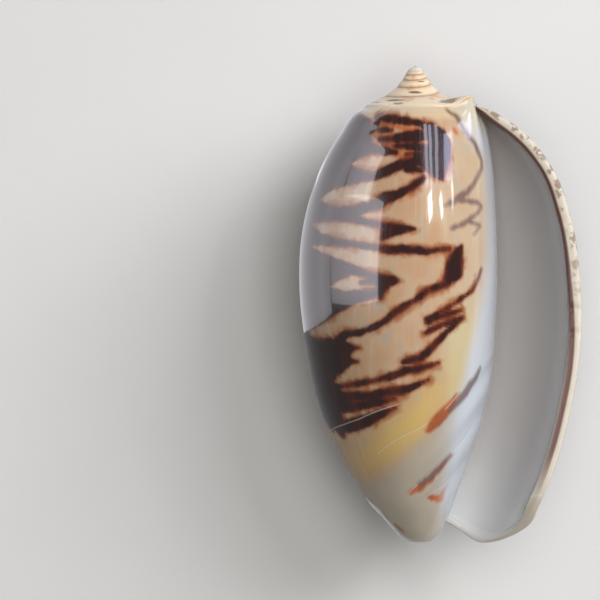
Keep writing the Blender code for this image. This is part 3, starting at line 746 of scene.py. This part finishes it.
class Skin:
    """The points, faces and numbers of the whole surface, gathered sheet by sheet."""

    def __init__(self):
        self.points = []
        self.faces = []
        self.numbers = {name: [] for name in SHEET_NUMBERS}
        self.count = 0

    def add(self, sheet):
        """Adds a sheet's points and returns their indices."""
        shape = sheet["angle"].shape
        self.points.append(sheet["points"].reshape(-1, 3))
        for name in SHEET_NUMBERS:
            self.numbers[name].append(sheet[name].ravel())
        index = np.arange(sheet["angle"].size).reshape(shape) + self.count
        self.count += sheet["angle"].size
        return index

    def quads(self, index, flip=False):
        """Quads between neighbouring points of a grid."""
        face = [index[:-1, :-1], index[1:, :-1], index[1:, 1:], index[:-1, 1:]]
        if flip:
            face = face[::-1]
        self.faces.extend(np.stack(face, axis=-1).reshape(-1, 4).tolist())

    def hem(self, coarse, fine, flip=False):
        """Faces between a line of points and a line with twice as many."""
        for i in range(len(coarse) - 1):
            face = [coarse[i], fine[2 * i], fine[2 * i + 1], fine[2 * i + 2], coarse[i + 1]]
            self.faces.append([int(v) for v in (face[::-1] if flip else face)])

    def fan(self, ring, tip):
        """A fan from the last points of a closed grid to one tip."""
        for left, right in zip(ring, ring[1:]):
            self.faces.append([int(left), int(right), int(tip)])


def single_point(height):
    """A sheet of one point on the axis."""
    at = np.zeros((1, 1))
    heights = np.full((1, 1), height)
    return grid(at, heights, lambda at, heights: np.zeros_like(heights))


def half_rows(sheet):
    """The same sheet with every second row of points."""
    return {name: values[:, ::2] for name, values in sheet.items()}


def build_skin():
    """All sheets, with the edges of neighbouring sheets on the same points. Hidden sheets are coarser."""
    skin = Skin()
    outer = outer_sheet()
    inner = wall_sheet(WALL_FOOT, 0.0, inside_radius, True)
    columella = wall_sheet([(0, FOOT_HEIGHT), (TURN, FOOT_HEIGHT)], -TURN, carved_radius)
    skin.quads(skin.add(outer))
    for sheet, flip in ((columella, False), (inner, True)):
        coarse = skin.add(half_rows(sheet))
        fine = skin.add({name: values[-1:] for name, values in sheet.items()})
        skin.quads(coarse[:-1], flip)
        skin.hem(coarse[-2], fine[0], flip)
    skin.quads(skin.add(edge_strip(outer, inner)))
    spire = skin.add(spire_sheet())
    skin.quads(spire)
    skin.fan(spire[:, -1], skin.add(single_point(LENGTH))[0, 0])
    foot = skin.add(foot_sheet())
    skin.quads(foot, flip=True)
    skin.fan(foot[::-1, -1], skin.add(single_point(0.0))[0, 0])
    return skin


def surface_numbers(angle, height, margin):
    """What the shader reads at each point, in millimetres or from 0 to 1."""
    off_front = np.abs(angle)
    beyond = np.where(angle > 0, -12.0, 9.0)
    across = np.where(off_front < SIDE_ANGLE, front_across(angle, height), beyond)
    seen = smoothstep((SIDE_ANGLE - off_front) / 15.0)
    grooves = on_sheet(FRONT_GROOVES, 0.0) + on_sheet(BACK_GROOVES, BACK_VIEW_ANGLE)
    rust = on_sheet(FRONT_RUST, 0.0) + on_sheet(BACK_RUST, BACK_VIEW_ANGLE)
    # The grooves' lines: cut by a bump in the shader, with a painted white highlight along them.
    line, near_line = thin_lines(angle, height, grooves)
    yellow = ridge(line_side(across, height, YELLOW_LINE), YELLOW_WIDTH) * seen
    yellow = yellow * (0.35 + 0.65 * smoothstep((across + 7.5) / 5.0))
    yellow = yellow * (1.0 - 0.7 * smoothstep((across - 0.5) / 3.5))
    below = -line_side(across, height, FASCIOLE_LINE)
    in_front = np.where(off_front < 100.0, 1.0, 0.0)
    return {
        "ink": ink_distance(angle, height),
        "faint": stroke_distance(angle, height, on_sheet(FRONT_FAINT, 0.0)),
        "rust": stroke_distance(angle, height, rust),
        "line": line,
        "near_line": near_line,
        "yellow": yellow,
        "fasciole": smoothstep(below / 2.4 + 0.4) * in_front,
        "glaze": mouth_glaze(angle, height),
        "margin": margin,
        "seam": seam_distance(angle, height),
        "spots": spire_spots(angle, height),
        "around": np.radians(angle) * USUAL_RADIUS,
        "along": height,
        "front": np.cos(np.radians(angle)),
        "mouth_side": smoothstep((across - 1.0) / 6.0) * seen,
    }


def shell_mesh(skin):
    """The mesh of the whole skin, cut off level at the flat spot, with its numbers for the shader."""
    points = np.concatenate(skin.points)
    points[:, 2] = np.maximum(points[:, 2], 0.0)
    mesh = bpy.data.meshes.new("olive_shell")
    mesh.from_pydata((points * MM).tolist(), [], skin.faces)
    gathered = {name: np.concatenate(values) for name, values in skin.numbers.items()}
    for name, values in surface_numbers(**gathered).items():
        attribute = mesh.attributes.new(name, "FLOAT", "POINT")
        attribute.data.foreach_set("value", values.astype(np.float32))
    bm = bmesh.new()
    bm.from_mesh(mesh)
    bmesh.ops.remove_doubles(bm, verts=bm.verts, dist=WELD)
    bmesh.ops.dissolve_degenerate(bm, edges=bm.edges, dist=WELD)
    bmesh.ops.recalc_face_normals(bm, faces=bm.faces)
    bm.to_mesh(mesh)
    bm.free()
    mesh.shade_smooth()
    return mesh


# The shell's material.

class Tree:
    """Short calls for building nodes."""

    def __init__(self, tree):
        self.nodes = tree.nodes
        self.links = tree.links

    def put(self, socket, value):
        if isinstance(value, bpy.types.NodeSocket):
            self.links.new(value, socket)
        else:
            socket.default_value = value

    def node(self, kind, sockets, output=0, **settings):
        """Adds a node, fills or links its sockets, and returns one of its outputs."""
        node = self.nodes.new("ShaderNode" + kind)
        for name, value in settings.items():
            setattr(node, name, value)
        for name, value in sockets.items():
            self.put(node.inputs[name], value)
        return node.outputs[output]

    def number(self, name):
        return self.node("Attribute", {}, "Fac", attribute_name=name)

    def math(self, operation, *values):
        return self.node("Math", dict(enumerate(values)), operation=operation)

    def times(self, first, *others):
        for value in others:
            first = self.math("MULTIPLY", first, value)
        return first

    def span(self, value, low, high, at_low, at_high, **settings):
        """A number that goes evenly from at_low, where the value is low, to at_high, where it is high."""
        sockets = {"Value": value, "From Min": low, "From Max": high, "To Min": at_low, "To Max": at_high}
        return self.node("MapRange", sockets, "Result", **settings)

    def fade(self, value, low, high):
        """0 at low and 1 at high, smooth between. High may be the lower number."""
        at_low = 1.0 if low > high else 0.0
        return self.span(value, min(low, high), max(low, high), at_low, 1.0 - at_low,
                         interpolation_type="SMOOTHSTEP")

    def mix(self, share, first, second):
        return self.node("Mix", {"Factor": share, 6: first, 7: second}, 2, data_type="RGBA")

    def paint(self, base, *layers):
        """Colours over a base, each with a share from 0 to 1 and a strength, one after another."""
        for over, share, strength in layers:
            base = self.mix(self.times(share, strength), base, over)
        return base

    def vector(self, x, y, z=0.0):
        return self.node("CombineXYZ", {0: x, 1: y, 2: z})

    def noise(self, vector, scale, detail=3.0, roughness=0.55):
        sockets = {"Vector": vector, "Scale": scale, "Detail": detail, "Roughness": roughness}
        return self.node("TexNoise", sockets, "Fac")

    def sheet_noise(self, scale, detail, roughness=0.55, stretch=(1.0, 1.0), apart=0.0):
        """Noise on the spiral sheet. A stretch below 1 draws it out, and apart gives another pattern."""
        around = self.times(self.number("around"), stretch[0])
        along = self.times(self.number("along"), stretch[1])
        return self.noise(self.vector(around, along, apart), scale, detail, roughness)

    def bump(self, height, strength, distance, **normal):
        return self.node("Bump", {"Strength": strength, "Distance": distance, "Height": height, **normal})


def new_material(name):
    material = bpy.data.materials.new(name)
    material.use_nodes = True
    return material, Tree(material.node_tree)


def colour(red, green, blue):
    """A shader colour from the 0 to 255 values that a screen shows."""
    def linear(value):
        value = value / 255.0
        return value / 12.92 if value <= 0.04045 else ((value + 0.055) / 1.055) ** 2.4
    return (linear(red), linear(green), linear(blue), 1.0)


CREAM = colour(184, 155, 124)
CREAM_WARM = colour(182, 144, 109)
CREAM_GREY = colour(163, 152, 136)
CREAM_PALE = colour(194, 175, 148)
CREAM_BACK = colour(190, 174, 144)
YELLOW = colour(200, 168, 98)
LEMON = colour(190, 180, 144)
FOOT_CREAM = colour(170, 161, 144)
WHITE_GLAZE = colour(192, 198, 206)
INSIDE = colour(238, 238, 236)
INSIDE_DEEP = colour(228, 223, 220)
INSIDE_BROWN = colour(234, 220, 210)
INK = colour(40, 15, 12)
INK_RED = colour(96, 34, 15)
HALO = colour(150, 86, 42)
RUST = colour(178, 88, 30)
RUST_DARK = colour(120, 56, 34)
MAUVE = colour(106, 80, 76)
# Painted shadow in the groove beside the callus ridge, over the mauve line there.
CALLUS_RIDGE_SHADOW = colour(80, 62, 52)
# Painted white highlight along the grooves.
GROOVE_HIGHLIGHT = colour(200, 192, 182)
SPIRE_TAN = colour(212, 182, 146)
SPIRE_PALE = colour(228, 208, 174)
SPIRE_BROWN = colour(86, 48, 34)
SPIRE_ORANGE = colour(206, 152, 110)
SPIRE_TIP = colour(216, 204, 190)
GLAZE_CREAM = colour(196, 186, 164)
RING_PALE = colour(206, 184, 150)
LIP_CREAM = colour(207, 198, 180)
LIP_BROWN = colour(88, 30, 8)
LIP_MOTTLE = colour(122, 84, 66)
FLOOR_GREY = colour(212, 211, 208)
FLOOR_PALE = colour(220, 219, 217)


def ground_colour(tree, along):
    """The cream ground with its clouds, its yellow band and its pale lower band."""
    mouth_side = tree.number("mouth_side")
    patches = tree.sheet_noise(0.42, 2.0, apart=7.0)
    streaks = tree.sheet_noise(1.1, 3.0, stretch=(1.0, 0.08), apart=5.0)
    lemon = tree.times(tree.fade(mouth_side, 0.12, 0.5), tree.fade(along, 28.0, 21.0))
    return tree.paint(
        CREAM,
        (CREAM_WARM, tree.fade(tree.sheet_noise(0.22, 2.0), 0.4, 0.66), 1.0),
        (CREAM_GREY, tree.fade(patches, 0.52, 0.72), 0.75),
        (CREAM_PALE, tree.fade(streaks, 0.5, 0.75), 0.5),
        (CREAM_BACK, tree.fade(tree.number("front"), 0.2, -0.4), 1.0),
        (CREAM_PALE, mouth_side, 0.6),
        (LEMON, lemon, 0.8),
        (YELLOW, tree.number("yellow"), 0.9),
        (tree.mix(mouth_side, FOOT_CREAM, WHITE_GLAZE), tree.number("fasciole"), 0.95),
        (RING_PALE, tree.fade(along, 43.9, 44.8), 0.8),
    )


def marked_colour(tree, base, along):
    """The dark, rust and mauve markings over the ground. Their brown edges waver along the growth lines.
    The grooves get a painted white highlight along them, and the mauve line beside the callus darkens at
    its top into painted shadow of the callus ridge.
    """
    wobble = tree.sheet_noise(0.9, 2.0, 0.5, stretch=(1.0, 0.35))
    shift = tree.times(tree.math("SUBTRACT", wobble, 0.5), 0.45)
    spread = tree.sheet_noise(0.5, 2.0, apart=21.0)

    def marked(name):
        return tree.math("ADD", tree.number(name), shift)

    ink = marked("ink")
    warm = tree.times(tree.fade(spread, 0.38, 0.7), 0.45)
    wide = tree.math("SUBTRACT", ink, warm)
    core = tree.math("MULTIPLY_ADD", warm, 0.5, ink)
    rust = tree.paint(RUST, (RUST_DARK, tree.fade(spread, 0.45, 0.65), 0.6))
    red = tree.fade(tree.sheet_noise(0.8, 3.0, stretch=(1.0, 0.05), apart=33.0), 0.5, 0.7)
    line = tree.fade(tree.math("ABSOLUTE", tree.number("line")), 0.09, 0.03)
    glaze = tree.mix(tree.fade(along, 41.5, 45.0), WHITE_GLAZE, GLAZE_CREAM)
    # The mauve line turns into painted shadow of the callus ridge from 38 to 41 mm up.
    faint = tree.mix(tree.fade(along, 38.0, 41.0), MAUVE, CALLUS_RIDGE_SHADOW)
    return tree.paint(
        base,
        (HALO, tree.fade(wide, 0.45, -0.25), 0.85),
        (rust, tree.fade(marked("rust"), 0.3, -0.2), 0.92),
        (INK_RED, tree.fade(ink, 0.26, -0.14), 1.0),
        (tree.paint(INK, (INK_RED, red, 0.55)), tree.fade(core, 0.14, -0.22), 1.0),
        # A painted white highlight along the grooves' lines.
        (GROOVE_HIGHLIGHT, tree.times(line, tree.number("near_line")), 0.5),
        (glaze, tree.number("glaze"), 0.92),
        (faint, tree.fade(marked("faint"), 0.34, -0.24), 0.85),
    )


def spire_colour(tree, base, along):
    """The pale tan spire: darker in its seams, with brown spots, warm blotches and a white tip."""
    seam = tree.number("seam")
    patches = tree.sheet_noise(1.1, 2.0, stretch=(0.12, 1.0), apart=3.0)
    ragged = tree.sheet_noise(6.0, 2.0, stretch=(0.12, 1.0), apart=3.0)
    ragged = tree.math("MULTIPLY_ADD", ragged, 0.8, -0.5)
    spots = tree.math("ADD", tree.number("spots"), ragged)
    whorl = tree.paint(
        SPIRE_TAN,
        (SPIRE_PALE, tree.fade(seam, 0.05, 0.3), 1.0),
        (SPIRE_ORANGE, tree.fade(patches, 0.54, 0.66), 0.7),
        (SPIRE_BROWN, tree.fade(seam, 0.1, 0.0), 0.65),
        (SPIRE_BROWN, tree.fade(spots, 0.3, -0.3), 0.85),
        (SPIRE_TIP, tree.fade(along, 48.9, 49.7), 1.0),
    )
    return tree.mix(tree.fade(along, 45.3, 45.8), base, whorl)


def edge_colour(tree, base, along, margin):
    """The cream free edge with brown mottles, the brown line along its inside, and the pale hollow."""
    mottle = tree.fade(tree.noise(tree.node("TexCoord", {}, "Object"), 1100.0, 3.0), 0.5, 0.6)
    mottle = tree.times(mottle, tree.fade(along, 20.0, 34.0), tree.fade(margin, 1.2, 0.5))
    cream = tree.paint(LIP_CREAM, (LIP_MOTTLE, mottle, 0.75))
    hollow = tree.mix(tree.fade(margin, 2.0, 14.0), INSIDE, INSIDE_DEEP)
    hollow = tree.paint(hollow, (INSIDE_BROWN, tree.fade(along, 36.0, 43.0), 0.6))
    shifted = tree.math("MULTIPLY_ADD", tree.fade(along, 32.0, 16.0), 0.45, margin)
    line = tree.times(tree.fade(shifted, 0.92, 1.25), tree.fade(shifted, 2.2, 1.55))
    return tree.paint(
        base,
        (cream, tree.fade(margin, -1.3, -0.5), 1.0),
        (hollow, tree.fade(margin, 1.3, 1.9), 1.0),
        (LIP_BROWN, tree.times(line, tree.fade(along, 2.0, 10.0)), 0.95),
    )


def shell_material():
    """The colours under a clear glaze, with fine growth lines. The free edge and the spire are duller."""
    material, tree = new_material("olive_shell_gloss")
    shader = tree.nodes["Principled BSDF"].inputs
    along, margin = tree.number("along"), tree.number("margin")
    base = marked_colour(tree, ground_colour(tree, along), along)
    base = spire_colour(tree, base, along)
    tree.put(shader["Base Color"], edge_colour(tree, base, along, margin))
    dull = tree.times(tree.fade(margin, -0.9, -0.2), tree.fade(margin, 2.8, 1.9))
    dull = tree.math("MAXIMUM", dull, tree.times(tree.fade(along, 45.7, 46.4), 0.8))
    smudges = tree.math("MULTIPLY_ADD", tree.sheet_noise(0.9, 4.0, 0.65), 0.14, 0.08)
    tree.put(shader["Roughness"], tree.math("MULTIPLY_ADD", dull, 0.28, smudges))
    tree.put(shader["Coat Weight"], tree.math("MULTIPLY_ADD", dull, -0.85, 1.0))
    shader["IOR"].default_value = 1.45
    shader["Coat IOR"].default_value = 1.55
    shader["Coat Roughness"].default_value = 0.03
    groove = tree.fade(tree.math("ABSOLUTE", tree.number("line")), 0.0, 0.16)
    groove = tree.math("MULTIPLY_ADD", tree.math("SUBTRACT", groove, 1.0), tree.number("near_line"), 1.0)
    cut = tree.bump(groove, 0.6, 0.05 * MM)
    lines = tree.sheet_noise(3.2, 5.0, 0.6, stretch=(1.0, 0.06))
    ripple = tree.bump(lines, 0.28, 0.06 * MM, Normal=cut)
    tree.put(shader["Normal"], tree.bump(tree.sheet_noise(9.0, 2.0), 0.08, 0.02 * MM, Normal=ripple))
    return material


# The stage, the lights and the camera.

FLOOR_SIZE = 14.0
FLOOR_DROP = 0.0001
LIGHT_DISTANCE = 0.5
CARD_HEIGHT = 0.5
CARD_FADE = 0.12
DAYLIGHT = (0.80, 0.84, 1.0)
BLUE_SKY = (0.70, 0.74, 1.0)
GREY_SKY = (0.96, 0.94, 1.0)
WARM_LIGHT = (1.0, 0.98, 0.95)
LAMP = (1.0, 1.0, 1.0)
WORLD_COLOUR = (0.97, 0.98, 1.0, 1.0)
WORLD_STRENGTH = 0.18
SENSOR_WIDTH = 36.0


def add(name, data):
    obj = bpy.data.objects.new(name, data)
    bpy.context.scene.collection.objects.link(obj)
    return obj


def floor():
    """A wide pale floor that doesn't show in the glaze."""
    half = FLOOR_SIZE / 2
    mesh = bpy.data.meshes.new("floor")
    corners = [(-half, -half, 0), (half, -half, 0), (half, half, 0), (-half, half, 0)]
    mesh.from_pydata(corners, [], [(0, 1, 2, 3)])
    material, tree = new_material("pale_floor")
    shader = tree.nodes["Principled BSDF"].inputs
    mottle = tree.noise(tree.node("TexCoord", {}, "Object"), 40.0, 3.0)
    tree.put(shader["Base Color"], tree.mix(mottle, FLOOR_GREY, FLOOR_PALE))
    shader["Roughness"].default_value = 0.8
    mesh.materials.append(material)
    obj = add("floor", mesh)
    obj.location.z = -FLOOR_DROP
    obj.visible_glossy = False


def area_light(name, wide, tall, radiance, tint, turned, middle, seen_in):
    """A rectangular light, sized in metres, that the camera doesn't see."""
    light = bpy.data.lights.new(name, "AREA")
    light.shape = "RECTANGLE"
    light.size = wide
    light.size_y = tall
    light.energy = radiance * math.pi * wide * tall
    light.color = tint
    obj = add(name, light)
    obj.matrix_world = turned
    obj.location = middle
    obj.visible_camera = False
    obj.visible_diffuse = "diffuse" in seen_in
    obj.visible_glossy = "glossy" in seen_in
    return light


def fade_light(light, axis, start, end, low_share):
    """Weakens an area light to a share at one end, from start to end along its axis, both from 0 to 1."""
    light.use_nodes = True
    tree = Tree(light.node_tree)
    at = tree.node("SeparateXYZ", {0: tree.node("NewGeometry", {}, "Parametric")}, axis)
    tree.put(tree.nodes["Emission"].inputs["Strength"], tree.span(at, start, end, low_share, 1.0))


def soft_light(name, top, bottom, width, radiance, tint=LAMP, seen_in=("diffuse", "glossy"), low_share=1.0):
    """A light that fills the sky between two directions, facing the shell. Low_share dims its bottom."""
    top = Vector(top).normalized() * LIGHT_DISTANCE
    bottom = Vector(bottom).normalized() * LIGHT_DISTANCE
    up = (top - bottom).normalized()
    back = (top + bottom).normalized()
    turned = Matrix((up.cross(back).normalized(), up, back)).transposed().to_4x4()
    middle = Vector((0.0, 0.0, AXIS_HEIGHT * MM)) + (top + bottom) / 2
    wide, tall = width * LIGHT_DISTANCE, (top - bottom).length
    light = area_light(name, wide, tall, radiance, tint, turned, middle, seen_in)
    if low_share < 1.0:
        fade_light(light, "Y", 0.0, 1.0, low_share)


def low_card(name, corner, size, radiance, turn=0.0):
    """A light just above the floor that only shows as a sheen low on the shell. Corner and size are in mm."""
    turned = Matrix.Rotation(math.radians(turn), 4, "Z")
    middle = Vector((*corner, CARD_HEIGHT)) * MM + turned @ (Vector((*size, 0.0)) * MM / 2)
    turned = turned @ Matrix.Rotation(math.pi, 4, "X")
    wide, tall = abs(size[0]) * MM, size[1] * MM
    return area_light(name, wide, tall, radiance, GREY_SKY, turned, middle, ("glossy",))


def lights():
    """Two broad lights above, two grey ones on the left, four sheens near the floor, and a bright window."""
    soft_light("key", (0.85, 0.33, 0.41), (0.45, 0.48, 0.75), 0.5, 6.5, WARM_LIGHT, ("diffuse",))
    soft_light("above", (0.11, 0.33, 0.92), (0.11, -0.29, 0.95), 0.45, 5.0, WARM_LIGHT, ("diffuse",))
    soft_light("side_1", (-0.50, 0.12, 0.86), (-0.99, 0.12, -0.02), 0.45, 3.8, GREY_SKY, ("glossy",), 0.4)
    soft_light("side_2", (-0.64, 0.50, 0.58), (-0.86, 0.50, -0.02), 0.36, 3.5, GREY_SKY, ("glossy",), 0.5)
    left = low_card("low_left", (-12, -5), (-500, 300), 1.5, 7.0)
    fade_light(left, "X", 1.0, 1.0 - CARD_FADE, 0.3)
    low_card("low_right", (13, -250), (300, 500), 0.5)
    low_card("low_back", (-26, 12), (39, 250), 0.6)
    low_card("low_front", (-13, -280), (26, 254), 0.35)
    soft_light("window_1", (0.20, 0.74, 0.62), (0.40, 0.34, 0.86), 0.07, 5.0, DAYLIGHT)
    soft_light("window_2", (0.31, 0.73, 0.62), (0.49, 0.33, 0.83), 0.06, 5.0, DAYLIGHT)
    soft_light("window_3", (0.44, 0.70, 0.55), (0.59, 0.32, 0.75), 0.07, 5.0, DAYLIGHT)
    soft_light("window_4", (0.69, 0.58, 0.42), (0.78, 0.30, 0.55), 0.22, 5.6, BLUE_SKY)
    soft_light("pane_1", (0.45, 0.305, 0.83), (0.50, 0.20, 0.84), 0.09, 14.0)
    soft_light("pane_2", (0.65, 0.27, 0.70), (0.71, 0.19, 0.68), 0.06, 12.0)
    soft_light("pane_3", (0.83, 0.28, 0.48), (0.86, 0.20, 0.47), 0.05, 9.0)


def world():
    scene = bpy.context.scene
    scene.world = bpy.data.worlds.new("studio")
    scene.world.use_nodes = True
    background = scene.world.node_tree.nodes["Background"].inputs
    background["Color"].default_value = WORLD_COLOUR
    background["Strength"].default_value = WORLD_STRENGTH


def camera():
    """Straight above the shell, as far off as the photograph's flat perspective asks."""
    data = bpy.data.cameras.new("camera")
    data.sensor_width = SENSOR_WIDTH
    data.lens = SENSOR_WIDTH * CAMERA_DISTANCE / (FRAME_PIXELS / PIXELS_PER_MM)
    data.clip_start = 0.01
    obj = add("camera", data)
    x = AXIS_X + (FRAME_PIXELS / 2 - AXIS_PIXEL) / PIXELS_PER_MM
    y = (FRONT_PIXEL - FRAME_PIXELS / 2) / PIXELS_PER_MM - MIDDLE
    obj.location = Vector((x, y, AXIS_HEIGHT + CAMERA_DISTANCE)) * MM
    bpy.context.scene.camera = obj


def shell():
    obj = add("olive_shell", shell_mesh(build_skin()))
    obj.data.materials.append(shell_material())
    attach(obj, "root")
    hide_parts("shell")


shell()
floor()
lights()
world()
camera()
bpy.context.scene.view_settings.view_transform = "Standard"
